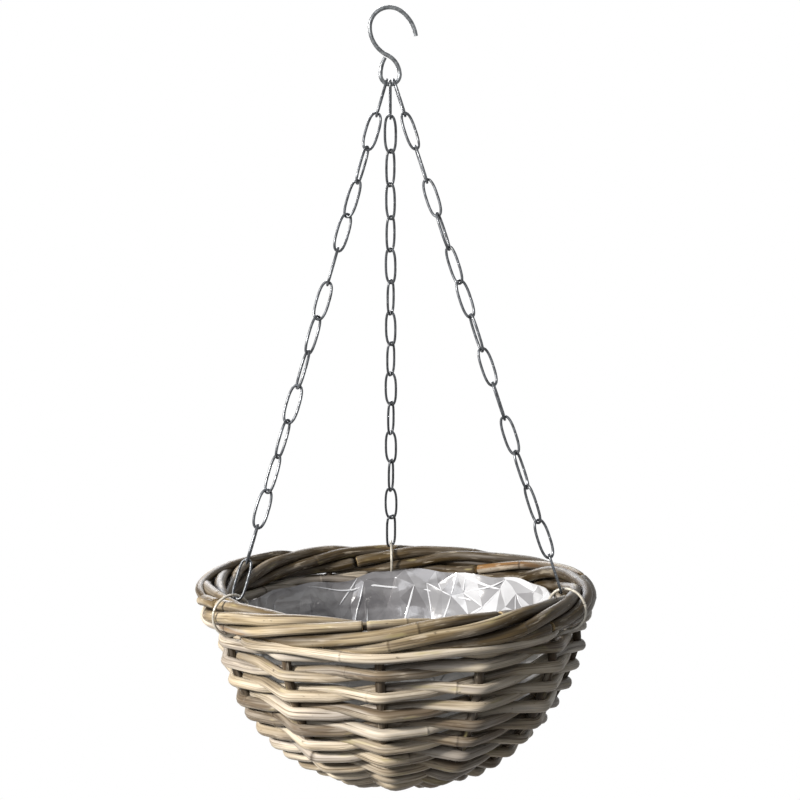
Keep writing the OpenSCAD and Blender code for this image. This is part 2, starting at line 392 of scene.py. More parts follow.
def rod(line, thick, seed, tone, step=2.6 * MM, sides=12, taper=0.05):
    """One rod along a line of points."""
    draw = random.Random(seed * 7 + 1)
    line = np.array(line, dtype=float)
    run = running_length(line)
    length = run[-1]
    # A rod without scars gets one far off its end
    scars = np.array(scar_places(length, seed) or [-1.0])
    stations = list(np.linspace(0, length, max(3, round(length / step))))
    stations += [s + d for s in scars for d in SCAR_RINGS]
    stations = np.array(sorted({round(s, 6) for s in stations if 0 <= s <= length}))
    stations = stations[np.concatenate([[True], np.diff(stations) > LEAST_RING_STEP])]
    centres = at_stations(stations, run, line)
    across, above = across_line(centres, stations)

    phases = [draw.uniform(0, TURN) for _ in range(5)]
    lean = draw.uniform(-taper, taper)
    gap = stations[:, None] - scars[None, :]
    strength = np.array([draw.choice(DARK_STRENGTHS) for _ in scars])
    scar = np.clip((strength * np.exp(-((gap - DARK_ON) / DARK_HALF) ** 2)).sum(axis=1), 0, 1)
    around = np.arange(sides) * TURN / sides
    # A scar is darkest on one side of the rod
    scar_side = np.clip(0.4 + 0.8 * np.cos(around + phases[2] * 3), 0, 1)
    swell = 1 + lean * (2 * stations / length - 1)
    for half, on, share in SCAR_FORMS:
        swell += share * np.exp(-((gap - on) / half) ** 2).sum(axis=1)
    for (wave, share), phase in zip(SWELLINGS, phases):
        swell += share * np.sin(TURN * stations / wave + phase)
    flats = 0
    for (count, winding, share), phase in zip(FLATS, phases[2:]):
        flats = flats + share * np.cos(count * around[None, :] + stations[:, None] / winding + phase)
    radius = thick / 2 * (swell[:, None] + flats)
    radius[[0, -1]] *= SAWN_SHARE
    cos_a, sin_a = np.cos(around), np.sin(around)
    points = centres[:, None, :] + radius[:, :, None] * (
        cos_a[None, :, None] * across[:, None, :] + sin_a[None, :, None] * above[:, None, :])
    # No two rods show the same stretch of grain
    offset = seed * 0.37
    places = np.empty_like(points)
    places[:, :, 0] = stations[:, None] + offset
    places[:, :, 1] = thick / 2 * cos_a[None, :] + offset
    places[:, :, 2] = thick / 2 * sin_a[None, :]

    count = len(stations)
    faces = tube_faces(count, sides)
    points, places = points.reshape(-1, 3), places.reshape(-1, 3)
    cuts = np.zeros(len(points))
    scars_at = (scar[:, None] * scar_side[None, :]).ravel()
    for end, ring, order in ((0, 0, 1), (count - 1, (count - 1) * sides, -1)):
        # Each cut face has an inner ring and a middle, so that its pith can differ from its skin
        first = len(points)
        inner = centres[end] + (points[ring:ring + sides] - centres[end]) * PITH_SHARE
        points = np.concatenate([points, inner, centres[end][None, :]])
        inner_place = places[ring:ring + sides] * (1, PITH_SHARE, PITH_SHARE)
        inner_place[:, 1] += (1 - PITH_SHARE) * offset
        places = np.concatenate([places, inner_place, [[stations[end] + offset, offset, 0.0]]])
        cuts = np.concatenate([cuts, np.ones(sides + 1)])
        scars_at = np.concatenate([scars_at, np.zeros(sides + 1)])
        for j in range(sides):
            k = (j + 1) % sides
            faces.append((ring + k, ring + j, first + j, first + k)[::order])
            faces.append((first + k, first + j, first + sides)[::order])
    return Rod(points, faces, places, np.full(len(points), tone), scars_at, cuts)


def border_hollow_shade_and_dirt(points):
    """How deep a point lies in a hollow of the border, from 0 to 1: painted shade, with dirt, between the
    rods.
    """
    out = np.hypot(np.hypot(points[:, 0], points[:, 1]) - RIM_R, points[:, 2] - RIM_Z)
    return rising(BORDER_D / 2 - out, 1.3 * MM, 4.3 * MM)


def wall_inner_shade_and_dirt(points):
    """How far a point lies to the inner side of the wall, from 0 to a half: painted shade, with dirt, where
    strands pass behind others.
    """
    flat = np.hypot(points[:, 0], points[:, 1])
    upper = np.hypot(flat - WALL_CENTRE[0], points[:, 2] - WALL_CENTRE[1]) - WALL_BEND
    lower = np.hypot(flat - BOWL_CENTRE[0], points[:, 2] - BOWL_CENTRE[1]) - BOWL_BEND
    off = np.where(points[:, 2] > BOWL_START[1], upper, lower)
    return 0.5 * rising(-off, -3 * MM, 5 * MM)


def painted_right_shade(points):
    """Painted shade on the right side, away from the key light."""
    degrees = np.degrees(np.arctan2(points[:, 1], points[:, 0]))
    return 0.45 * rising(degrees, -20, -6) * rising(-degrees, -75, -25)


def right_shade_and_low_darkening(points):
    """How much darker the rods are: painted shade on the right side, away from the key light, and darker
    towards the bottom.
    """
    right = rising(points[:, 0], 0, RIM_R)
    low = rising(RIM_Z - points[:, 2], 92 * MM, 132 * MM)
    return 0.25 * right ** 2 + 0.35 * low


def bulge(points):
    """Below its border the basket is wider than a true bowl: by 2 mm, and by 6 mm on its right."""
    flat = np.maximum(np.hypot(points[:, 0], points[:, 1]), 1 * MM)
    right = np.clip(points[:, 0] / flat, 0, 1)
    below = rising(RIM_Z - points[:, 2], 14 * MM, 34 * MM) * rising(flat, 0, 50 * MM)
    points[:, :2] *= (1 + (2 + 4 * right) * MM * below / flat)[:, None]


def rattan_piece(name, rods, material, slot, *nodes, shade_and_dirt=wall_inner_shade_and_dirt):
    """Joins rods into one piece of the basket, which stands for the named solids."""
    faces = []
    count = 0
    for one in rods:
        faces += [tuple(v + count for v in face) for face in one.faces]
        count += len(one.points)
    points, places, tones, scars, cuts = (
        np.concatenate([getattr(one, part) for one in rods]) for part in POINT_PARTS)
    # Painted shade, with dirt, in hollows and on the inner side, and painted shade on the right side
    shade_and_dirt_here = np.maximum(shade_and_dirt(points), painted_right_shade(points))
    # Tones darken with painted shade on the right side, and towards the bottom
    tones = tones - right_shade_and_low_darkening(points)
    bulge(points)
    made = new_piece(name, points, faces, material)
    mesh = made.data
    # Only the triangles in the middle of a cut end are flat
    mesh.polygons.foreach_set("use_smooth", [len(face) == 4 for face in faces])
    mesh.attributes.new("rod_place", "FLOAT_VECTOR", "POINT").data.foreach_set("vector", places.ravel())
    for kind, values in (("tone", tones), ("scar", scars), ("cut", cuts), ("shade_and_dirt", shade_and_dirt_here)):
        mesh.attributes.new("rod_" + kind, "FLOAT", "POINT").data.foreach_set("value", values)
    mesh.update()
    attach(made, "basket")
    if nodes:
        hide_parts(*nodes)


def wander(seed, spread):
    """A smooth random function of the azimuth, with about this spread."""
    draw = random.Random(seed)
    waves = [(draw.randint(2, 9), draw.uniform(0, TURN), draw.uniform(0.4, 1.0)) for _ in range(4)]
    scale = 1.6 * spread / sum(size for _, _, size in waves)
    return lambda azimuth: scale * sum(size * math.sin(n * azimuth + phase) for n, phase, size in waves)


def near_ends(along, share):
    """1 at both ends of a rod, easing to 0 within this share of its length."""
    return max(0.0, 1 - along / share) ** 2 + max(0.0, 1 - (1 - along) / share) ** 2


# Border: five rods rolled round each other like a rope, each in two or three lengths

# Each rod's thickness as a share of the usual one, where its lengths begin in degrees, and their tones
BORDER_LENGTHS = ((0.84, (260, 368, 418), (0.68, 1.25, 0.68)), (1.0, (168, 316), (0.5, 0.6)),
                  (0.95, (33, 205), (0.5, 0.66)), (1.02, (104, 248), (0.4, 0.6)),
                  (0.93, (118, 300), (0.3, 0.55)))
# Gap between two lengths of a rod
BORDER_CUT = 3 * MM
# How far each rod strays round the border's middle and out from it
STRAY_TURN, STRAY_CORE = math.radians(13), 0.8 * MM
# Where the border rises or drops: azimuth and spread in degrees, and height
BORDER_LIFTS = ((130, 28, 2.6 * MM), (48, 26, -2 * MM))
# No rod swells within 4 degrees of a ring, and each wanders freely from 19 degrees on
RING_CLEAR, RING_FREE = math.radians(3.75), math.radians(18.75)
# The spare end: thickness, first and last azimuth and turn round the border in degrees, how far it stands
# off, how far its tips dip in, and within which share of its length
SPARE_ROD = 6.8 * MM
SPARE_DEGREES = (124, 192)
SPARE_TURN = (100, 35)
SPARE_OFF = 0.3 * MM
SPARE_DIP = 5 * MM
SPARE_TIP = 0.15
# Tones of the border: its middle rod's, and how much darker its rear, inner side, right and honey length are;
# on the right the darkening is painted shade
CORE_TONE = 0.0
REAR_DARKER, INNER_DARKER, RIGHT_PAINTED_SHADE, HONEY_DARKER = 0.42, 0.2, 0.7, 0.1


def calm(azimuth):
    """0 where a ring goes round the border, rising to 1 beside it, so that no rod swells into a ring."""
    nearest = min(abs((azimuth - a + math.pi) % TURN - math.pi) for a in RING_AZIMUTHS)
    return float(rising(nearest, RING_CLEAR, RING_FREE))


def border_lift(azimuth):
    """The border isn't quite level: it rises at its left rear and drops at its right rear."""
    degrees = math.degrees(azimuth) % 360
    return sum(height * math.exp(-((degrees - at) / spread) ** 2) for at, spread, height in BORDER_LIFTS)


def on_border(azimuth, turn, core, lift=0.0):
    """A place beside the border's middle line: this far from it, turned this far round it."""
    return round_axis(RIM_R + core * math.cos(turn), azimuth, RIM_Z + core * math.sin(turn) + lift)


def border():
    # One rod lies where the rings pull: under the border, in line with the chains
    pull = -(math.pi / 2 - math.asin(RIM_R / math.hypot(RIM_R, RIM_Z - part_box("rear_link_01")[1][2])))
    rods = []
    for k, (share, begins, own_tones) in enumerate(BORDER_LENGTHS):
        turn_wander, core_wander = wander(60 + k, STRAY_TURN), wander(80 + k, STRAY_CORE)
        cuts = [math.radians(a) for a in (*begins, begins[0] + 360)]
        for piece, (first, last) in enumerate(zip(cuts[:-1], cuts[1:])):
            azimuths = np.linspace(first, last, round((last - first) * RIM_R / LINE_STEP) + 1)
            azimuths[-1] -= BORDER_CUT / RIM_R
            line = []
            for azimuth in azimuths:
                ease = calm(azimuth)
                turn = pull + k * TURN / BORDER_RODS + BORDER_TURNS * (azimuth - RING_AZIMUTHS[0])
                turn += ease * turn_wander(azimuth)
                core = BORDER_CORE + ease * core_wander(azimuth)
                line.append(on_border(azimuth, turn, core, ease * border_lift(azimuth)))
            seed = 100 + 10 * k + piece
            rods.append(rod(line, BORDER_ROD * share, seed, own_tones[piece], sides=14, taper=0.02))
    # A thin rod lies in the hollow between them
    middle = [on_border(a, 0, 0, calm(a) * border_lift(a)) for a in np.linspace(0, TURN, 361)]
    rods.append(rod(middle, 1.1 * (BORDER_D - 2 * BORDER_ROD), 190, CORE_TONE, step=4 * MM, sides=8))
    # A spare end lies over the left rear
    spare = []
    for along in np.linspace(0, 1, 90):
        azimuth, turn = (math.radians(a + (b - a) * along) for a, b in (SPARE_DEGREES, SPARE_TURN))
        off = BORDER_D / 2 + SPARE_OFF - SPARE_DIP * near_ends(along, SPARE_TIP)
        spare.append(on_border(azimuth, turn, off))
    rods.append(rod(spare, SPARE_ROD, 195, 0.5))
    # It is darker at the rear and on its inner side, and painted shade darkens its right, but for one
    # honey-brown length
    for one in rods:
        azimuths = np.arctan2(one.points[:, 1], one.points[:, 0])
        inner = rising(RIM_R - np.hypot(one.points[:, 0], one.points[:, 1]), 0, 8 * MM)
        rear = 0.5 + 0.5 * np.sin(azimuths)
        right = np.clip(np.cos(azimuths) - 0.05, 0, 1)
        darker = REAR_DARKER * rear + INNER_DARKER * inner + RIGHT_PAINTED_SHADE * right
        one.tones[:] -= np.where(one.tones > 1, HONEY_DARKER, darker)
    rattan_piece("border_rolled", rods, BORDER_SKIN, "border_rattan", "border", shade_and_dirt=border_hollow_shade_and_dirt)


# Under the border: two more woven rows, -1 and -2, and long rods laid outside them from ring to ring

# The topmost row stops short of the right and the rear ring, which pass where it would lie
TOP_ROW_SPANS = ((98, 318), (342, 442))
# The laid rods: how far out from the rim and how far down, how far each rises, how far its ends are pushed in
# under the border, within which share of its length, and how far they stay from the rings
LAID_OUT = 4.6 * MM
LAID_DOWN = 12.2 * MM
LAID_RISE = 3 * MM
LAID_TUCK = 8 * MM
LAID_TIP = 0.1
LAID_FROM_RING = math.radians(6)


def rim_rods():
    rods = woven_row(-1, 3)
    for span in TOP_ROW_SPANS:
        rods += woven_row(-2, 1, [math.radians(a) for a in span])
    for n, ring in enumerate(RING_AZIMUTHS):
        draw = random.Random(200 + n)
        height_wander = wander(210 + n, 1.2 * MM)
        first, last = ring + LAID_FROM_RING, ring + TURN / 3 - LAID_FROM_RING
        line = []
        for along in np.linspace(0, 1, round((last - first) * RIM_R / LINE_STEP) + 1):
            azimuth = first + (last - first) * along
            height = RIM_Z - LAID_DOWN + (along - 0.5) * LAID_RISE + height_wander(azimuth)
            radius = RIM_R + LAID_OUT - LAID_TUCK * near_ends(along, LAID_TIP)
            line.append(round_axis(radius, azimuth, height))
        rods.append(rod(line, RIM_ROD * draw.uniform(0.84, 0.96), 220 + 10 * n, draw.uniform(0.6, 1)))
    rattan_piece("rim_rods_laid", rods, WOVEN_SKIN, "woven_rattan", "rim_rods")


# Weave: in each row two strands wind round each other and clasp a stake at every half turn

# Woven rods are pressed flat where they pass a stake, so they swing less than their thickness would ask
WOVEN_REACH = 5.2 * MM
# Where two strands cross, each rises or dips by this share of its thickness
CROSSING_SHARE = 0.33
# Tilt of the rows: all round, towards the left and towards the rear
ROW_TILT = (5.3 * MM, -8 * MM, 2.5 * MM)
# At the rear left the topmost row is packed up against the border: by how much, where, and how many degrees
# it takes to come down again
PACKED_UP = 9 * MM
PACKED_DEGREES = (90, 205)
PACKED_EASE = 30
# The border holds the topmost row down
LEAST_DOWN = 3.4 * MM
STRAND_STEP = 1.4 * MM
SMOOTHINGS = 12
# Gap between two lengths of a strand, in radians
STRAND_CUT = 0.004


def eased(line):
    """The line with its corners rounded by averaging."""
    for _ in range(SMOOTHINGS):
        line[1:-1] = (line[:-2] + 2 * line[1:-1] + line[2:]) / 4
    return line


def row_down(row, azimuth):
    """Where a row lies: near the rim the rows are tilted, low at the left and high at the right."""
    all_round, to_left, to_rear = ROW_TILT
    tilt = all_round + to_left * math.cos(azimuth) + to_rear * math.sin(azimuth)
    down = FIRST_ROW_DOWN + row * ROW_PITCH + tilt * (1 - max(row, 0) / (ROWS - 1))
    degrees = math.degrees(azimuth) % 360
    first, last = PACKED_DEGREES
    if row == -2 and first < degrees < last:
        down -= PACKED_UP * min(1.0, (last - degrees) / PACKED_EASE)
    return max(down, LEAST_DOWN)


def strand(down_at, which, reach, rise, seed, first, last):
    """Part of one strand, which goes right and passes one stake on the outside, then the next on the inside.

    It lies down_at(azimuth) down the wall, swings out and in by reach, and up or down by rise between stakes.
    """
    height_wander, reach_wander = wander(seed, 1.1 * MM), wander(seed + 1, 0.3 * MM)

    def beside_stake(azimuth, phase):
        """Where the strand passes a stake: outside it at phase 0, inside it half a turn on."""
        off = math.cos(phase) * (reach + reach_wander(azimuth))
        radius, height = wall_point(down_at(azimuth) + height_wander(azimuth), off)
        return np.array(round_axis(radius, azimuth, height))

    # It runs straight from stake to stake. Between two it rises over the other strand or dips under it
    half = STAKE_STEP / 2
    corners, corner_azimuths = [], []
    for n in range(math.floor((first - FIRST_STAKE) / half) - 1, math.ceil((last - FIRST_STAKE) / half) + 2):
        azimuth = FIRST_STAKE + n * half
        phase = (n / 2 + which) * math.pi
        if n % 2:
            before = beside_stake(azimuth - half, phase - math.pi / 2)
            after = beside_stake(azimuth + half, phase + math.pi / 2)
            lift = -rise * math.sin(phase) + 0.2 * height_wander(azimuth)
            corners.append((before + after) / 2 + np.array((0, 0, lift)))
        else:
            corners.append(beside_stake(azimuth, phase))
        corner_azimuths.append(azimuth)
    # The line starts and ends a little further on, so that easing leaves its ends alone
    step = STRAND_STEP / wall_point(down_at(first), 0)[0]
    azimuths = np.arange(first - SMOOTHINGS * step, last + SMOOTHINGS * step, step)
    return eased(at_stations(azimuths, corner_azimuths, np.array(corners)))[SMOOTHINGS:-SMOOTHINGS]


def woven_row(row, lengths, span=None):
    """Both strands of a row, each in one or more lengths that end behind a stake, or over one span."""
    rods = []
    for which in (0, 1):
        seed = 300 + 10 * row + 3 * which
        draw = random.Random(seed)
        # A strand is behind every second stake; its lengths meet there
        behind = [FIRST_STAKE + (2 * n + 1 + which) * STAKE_STEP for n in range(STAKES // 2)]
        start = draw.choice(behind)
        ends = [start + round(STAKES / 2 * n / lengths) * 2 * STAKE_STEP for n in range(lengths + 1)]
        spans = [span] if span else list(zip(ends[:-1], ends[1:]))
        for piece, (first, last) in enumerate(spans):
            thick = ROD * draw.uniform(0.98, 1.14)
            line = strand(lambda a: row_down(row, a), which, WOVEN_REACH, CROSSING_SHARE * thick, seed,
                          first, last - STRAND_CUT)
            rods.append(rod(line, thick, seed + 1000 * (piece + 1), draw.uniform(0, 1)))
    return rods


def weave():
    for first in range(0, ROWS, 2):
        rods = []
        for row in (first, first + 1):
            # The rows get shorter towards the base, so a strand takes fewer lengths
            rods += woven_row(row, 3 if row < 5 else 2 if row < 8 else 1)
        name = f"{first + 1:02d}_{first + 2:02d}"
        rattan_piece("woven_rows_" + name, rods, WOVEN_SKIN, "woven_rattan", "weave_rows_" + name)


# Stakes: six long rods, each down one side of the bowl, across the base and up the other side

# A stake begins this far above the wall's top, and leaves the wall this far from its foot. Over the stretch
# before that it settles this share of the way to its layer of the cross
STAKE_ABOVE = 2 * MM
STAKE_LEAVES = 22 * MM
STAKE_SETTLES = 40 * MM
SETTLED_SHARE = 0.8
# How much of the cross's half length a stake runs straight
STRAIGHT_SHARE = 0.9


def smooth_through(points):
    """Even steps along the points, with rounded corners."""
    points = np.array([tuple(p) for p in points])
    run = running_length(points)
    return eased(at_stations(np.linspace(0, run[-1], round(run[-1] / LINE_STEP)), run, points))


def stake_leg(azimuth, lower):
    """A stake's way down the wall, which ends this far above or below the base's middle."""
    leg = []
    stop = WHOLE_RUN - STAKE_LEAVES
    for down in np.linspace(-STAKE_ABOVE, stop, 91):
        radius, height = wall_point(down, 0)
        settle = max(0.0, (down - stop + STAKE_SETTLES) / STAKE_SETTLES) ** 2
        leg.append(Vector(round_axis(radius, azimuth, height + lower * settle * SETTLED_SHARE)))
    return leg


def stakes():
    rods = []
    for layer in (0, 1):
        facing = FIRST_STAKE + layer * math.pi / 2
        lower = (layer - 0.5) * (STAKE + PLAY)
        ahead, aside = (Vector(round_axis(1, a, 0)) for a in (facing, facing + math.pi / 2))
        level = Vector((0, 0, wall_point(WHOLE_RUN, 0)[1] + lower))
        for k in (-1, 0, 1):
            down_leg = stake_leg(facing + k * STAKE_STEP, lower)
            up_leg = stake_leg(facing + math.pi - k * STAKE_STEP, lower)[::-1]
            beside = level + aside * CROSS_R * math.sin(k * STAKE_STEP)
            half = STRAIGHT_SHARE * CROSS_R * math.cos(k * STAKE_STEP)
            middle = [beside + ahead * half * t for t in (1, 0.5, 0, -0.5, -1)]
            path = smooth_through(down_leg + middle + up_leg)
            rods.append(rod(path, STAKE, 500 + 10 * layer + k, 0.5 + 0.3 * k, sides=10))
    rattan_piece("stakes_bent", rods, STAKE_SKIN, "stake_rattan", "stakes", "base_sticks")


# Base binding: thin split cane twined tightly round the cross

CANE = 3.4 * MM
BINDING_RADII = (29.5 * MM, 25 * MM, 20.5 * MM)


def base_binding():
    reach = (STAKE + CANE) / 2 + PLAY
    rods = []
    for row, radius in enumerate(BINDING_RADII):
        down = WHOLE_RUN - (radius - BASE_R)
        for which in (0, 1):
            seed = 600 + 10 * row + which
            line = strand(lambda a: down, which, reach, CANE / 2, seed, 0, TURN * 0.998)
            rods.append(rod(line, CANE, seed, 0.5 + 0.2 * which, step=1.6 * MM, sides=8))
    rattan_piece("base_binding", rods, WOVEN_SKIN, "woven_rattan")


# Liner: one disc of film pressed into the bowl, which breaks it into flat facets with creases between them

# Creases of the rear wall: azimuth in degrees and share of the depth at each end, the height of the first end
# in mm, and the width in mm if it shows white
FOLDS = (((101.5, 0.03), (107, 0.24), 5, 1.2), ((101.5, 0.03), (101, 0.26), 5, 1.4),
         ((100, 0.025), (89, 0.03), 3, 0.8), ((88, 0.03), (85.5, 0.25), 4, 2.0),
         ((81, 0.07), (73.5, 0.22), 5, 1.2), ((76, 0.06), (71.5, 0.055), 3, 1.0),
         ((69.5, 0.08), (69.3, 0.24), 6, 1.5), ((65.5, 0.1), (58, 0.19), 5, 1.8),
         ((51, 0.135), (43.5, 0.05), 6, 2.0), ((60, 0.02), (61, 0.09), 4, 1.2),
         ((41, 0.01), (24, 0.03), 5, 1.6), ((45, 0.17), (36, 0.24), 5, 1.4),
         ((33, 0.06), (28, 0.16), 6, 1.5), ((125, 0.02), (120, 0.35), 3, 0),
         ((148, 0.02), (156, 0.35), 3, 0), ((94, 0.06), (92, 0.16), 1, 0))
# The net's other corners: share of the depth, and how many there are all round
FILM_ROWS = ((0, 34), (0.05, 28), (0.12, 28), (0.2, 26), (0.31, 22), (0.45, 18), (0.62, 14), (0.8, 12))
BOTTOM_CORNERS = 12
# How far they stray: in shares of their spacing and of the depth, and how far they stay from a fold's ends
STRAY_ROUND, STRAY_DEEP = 0.4, 0.022
CLEAR_DEGREES, CLEAR_DEEP = 5, 0.035
# The film is most crumpled near this azimuth, where a corner stands off the wall by up to so many mm
CRUMPLED_DEGREES = 38
MOST_CRUMPLE = 9
# How milky the film is, with painted light that whitens its inner right side where the key light falls, by
# azimuth in degrees, and by which factor a facet may differ, as painted lit and shaded facets
MILK_AND_LIGHT_DEGREES = (-180, -80, -55, -25, 5, 60, 69, 86, 90, 180)
MILK_AND_LIGHT = (0.08, 0.1, 0.6, 0.6, 0.78, 0.78, 0.3, 0.14, 0.03, 0.03)
FACET_LIGHT_FACTORS = (1.15, 1.0, 0.9, 0.5, 0.3)
# Other edges of the net that show white: their share between these azimuths and elsewhere, and their sizes
WHITE_DEGREES = (-30, 68)
WHITE_SHARE, OTHER_WHITE_SHARE = 0.28, 0.06
WHITE_LONGEST = 42 * MM
WHITE_WIDTHS = (0.7, 1.4)
# How many mm the film has slipped down from the border at the rear left, by azimuth in degrees
SLIP_DEGREES = (62, 82, 97, 106, 140, 165, 185)
SLIP = (0, 1, 1, 6, 7, 5, 0)
# The slip is taken up within this share of the depth
SLIP_SHARE = 0.25
FILM_BOTTOM = 1 + BASE_R / WHOLE_RUN
# How far the film lies inside the stakes' middle line
FILM_IN = STAKE / 2 + RIM_ROD + 2 * PLAY + 0.3 * MM
FILM_TOP_UP = 2.6 * MM
# The cut edge waves: waves all round, height and phase
EDGE_WAVES = ((7, 1.4 * MM, 1), (17, 0.9 * MM, 0))
WRINKLE_LONG, WRINKLE_HIGH = 12 * MM, 0.9 * MM
FACET_CELLS = 9
# White creases: length of their cells, height over the film, height of their middle line, and least taper
CREASE_STEP = 2.5 * MM
CREASE_LIFT = 0.25 * MM
CREASE_RIDGE = 0.45 * MM
CREASE_TIP = 0.15
WELD = 0.02 * MM


def degrees_round(spot):
    """Azimuth of a spot on the unrolled film, from -180 to 180 degrees."""
    return (math.degrees(spot.x / RIM_R) + 180) % 360 - 180


def film_corners(draw):
    """Corners of the film as azimuth, share of the depth and height in mm, and the pairs that are folds."""
    corners, folded = [], []
    for (a0, b0), (a1, b1), rise, _ in FOLDS:
        folded.append((len(corners), len(corners) + 1))
        corners += [(a0, b0, rise), (a1, b1, 0.4 * rise)]
    fold_ends = list(corners)
    for share, count in (*FILM_ROWS, (FILM_BOTTOM, BOTTOM_CORNERS)):
        inside = 0 < share < 1
        for i in range(count):
            azimuth = (i + draw.uniform(-STRAY_ROUND, STRAY_ROUND)) * 360 / count
            at = share + (draw.uniform(-STRAY_DEEP, STRAY_DEEP) if inside else 0)
            crumpled = 0.3 + 0.7 * max(0.0, math.cos(math.radians(azimuth - CRUMPLED_DEGREES)))
            near_fold = any(abs(a - azimuth) < CLEAR_DEGREES and abs(b - at) < CLEAR_DEEP
                            for a, b, _ in fold_ends)
            if not (inside and near_fold):
                corners.append((azimuth, at, draw.uniform(0, MOST_CRUMPLE) * crumpled * inside))
    # The net goes on past both ends of the turn, so that it closes
    before = [(a - 360, b, h) for a, b, h in corners if a > 270]
    after = [(a + 360, b, h) for a, b, h in corners if a < 90]
    return corners + before + after, folded


def film_net():
    """The film on its unrolled wall: each facet's corners, how milky each is, with painted light, and the
    white creases.
    """
    draw = random.Random(900)
    corners, folded = film_corners(draw)
    flat = [Vector((math.radians(a) * RIM_R, b * WHOLE_RUN)) for a, b, _ in corners]
    spots, edges, facets, origins, *_ = geometry.delaunay_2d_cdt(flat, folded, [], 0, 1e-6)
    # Where two folds cross, the net has a corner of its own, 2 mm high
    heights = [max((corners[i][2] for i in origin), default=2) * MM for origin in origins]
    spots = [Vector((p.x, p.y, h)) for p, h in zip(spots, heights)]
    kept, milk_and_light = [], []
    for facet in facets:
        middle = sum((spots[i] for i in facet), Vector()) / 3
        if 0 <= middle.x < TURN * RIM_R:
            kept.append(facet)
            # Milkiness here is partly painted light: whiter on the inner right side, and each facet a painted
            # lit or shaded tone
            mean = float(np.interp(degrees_round(middle), MILK_AND_LIGHT_DEGREES, MILK_AND_LIGHT))
            milk_and_light.append(mean * draw.choice(FACET_LIGHT_FACTORS))
    white = [(spots[i], spots[j], fold[3]) for (i, j), fold in zip(folded, FOLDS) if fold[3]]
    for i, j in edges:
        middle = (spots[i] + spots[j]) / 2
        low, high = WHITE_DEGREES
        chance = WHITE_SHARE if low < degrees_round(middle) < high else OTHER_WHITE_SHARE
        on_wall = 0.01 < middle.y / WHOLE_RUN < 0.9 and 0 < middle.x < TURN * RIM_R
        if on_wall and (spots[i] - spots[j]).length < WHITE_LONGEST and draw.random() < chance:
            white.append((spots[i], spots[j], draw.uniform(*WHITE_WIDTHS)))
    return [[spots[i] for i in facet] for facet in kept], milk_and_light, white


def on_film(spot):
    """The place in space of a spot on the unrolled wall, whose third number is how high it stands off it."""
    azimuth, along, height = spot.x / RIM_R, spot.y / WHOLE_RUN, spot.z
    up = max(0.0, 1 - along)
    edge = sum(size * math.sin(n * azimuth + phase) for n, size, phase in EDGE_WAVES)
    slip = float(np.interp(math.degrees(azimuth) % 360, SLIP_DEGREES, SLIP)) * MM
    down = spot.y + slip * max(0.0, 1 - along / SLIP_SHARE) + up * (edge - FILM_TOP_UP)
    radius, level = wall_point(down, -FILM_IN)
    # It lies flat against the wall at its top edge and on the base
    height *= min(1.0, 4 * up) * min(1.0, 0.2 + 9 * along)
    # Fine wrinkles cross the facets
    wrinkle = noise.noise(Vector(round_axis(RIM_R, azimuth, spot.y)) / WRINKLE_LONG)
    height += WRINKLE_HIGH * wrinkle * min(1.0, 4 * (FILM_BOTTOM - along))
    # An upright wall stands off sideways, a level floor upwards
    sideways = max(0.0, math.cos(wall_slope(spot.y)))
    return round_axis(max(0.0, radius - height * sideways), azimuth, level + height * (1 - sideways))


def facet_cells(corners, first):
    """Points and faces of one facet as a grid of small triangles, whose points are numbered from first."""
    a, b, c = corners
    points, faces, row_start = [], [], []
    for i in range(FACET_CELLS + 1):
        row_start.append(first + len(points))
        for j in range(i + 1):
            points.append(on_film(a + (b - a) * (i - j) / FACET_CELLS + (c - a) * j / FACET_CELLS))
    for i in range(FACET_CELLS):
        for j in range(i + 1):
            here, below = row_start[i] + j, row_start[i + 1] + j
            faces.append((here, below, below + 1))
            if j < i:
                faces.append((here, below + 1, here + 1))
    return points, faces


def crease_strip(start, end, width, first):
    """Points and faces of a white crease: a narrow ridge that stands on the film, pointed at its ends."""
    along = end - start
    count = max(3, round(along.length / CREASE_STEP))
    aside = Vector((-along.y, along.x, 0)).normalized() * width / 2 * MM
    points, faces = [], []
    for i in range(count + 1):
        spot = start + along * i / count + Vector((0, 0, CREASE_LIFT))
        taper = min(1.0, 4 * min(i, count - i) / count + CREASE_TIP)
        ridge = Vector((0, 0, CREASE_RIDGE * taper))
        points += [on_film(spot - aside * taper), on_film(spot + ridge), on_film(spot + aside * taper)]
    for i in range(count):
        for j in (first + 3 * i, first + 3 * i + 1):
            faces.append((j, j + 1, j + 4, j + 3))
    return points, faces


def weld_facets(mesh, facet_of):
    """Joins neighbouring facets, and makes the edges between them sharp."""
    net = bmesh.new()
    net.from_mesh(mesh)
    number_of = net.faces.layers.int.new("facet_number")
    for face, number in zip(net.faces, facet_of):
        face[number_of] = number
    bmesh.ops.remove_doubles(net, verts=net.verts, dist=WELD)
    for edge in net.edges:
        edge.smooth = len({face[number_of] for face in edge.link_faces}) == 1
    net.faces.layers.int.remove(number_of)
    net.to_mesh(mesh)
    net.free()
    mesh.update()


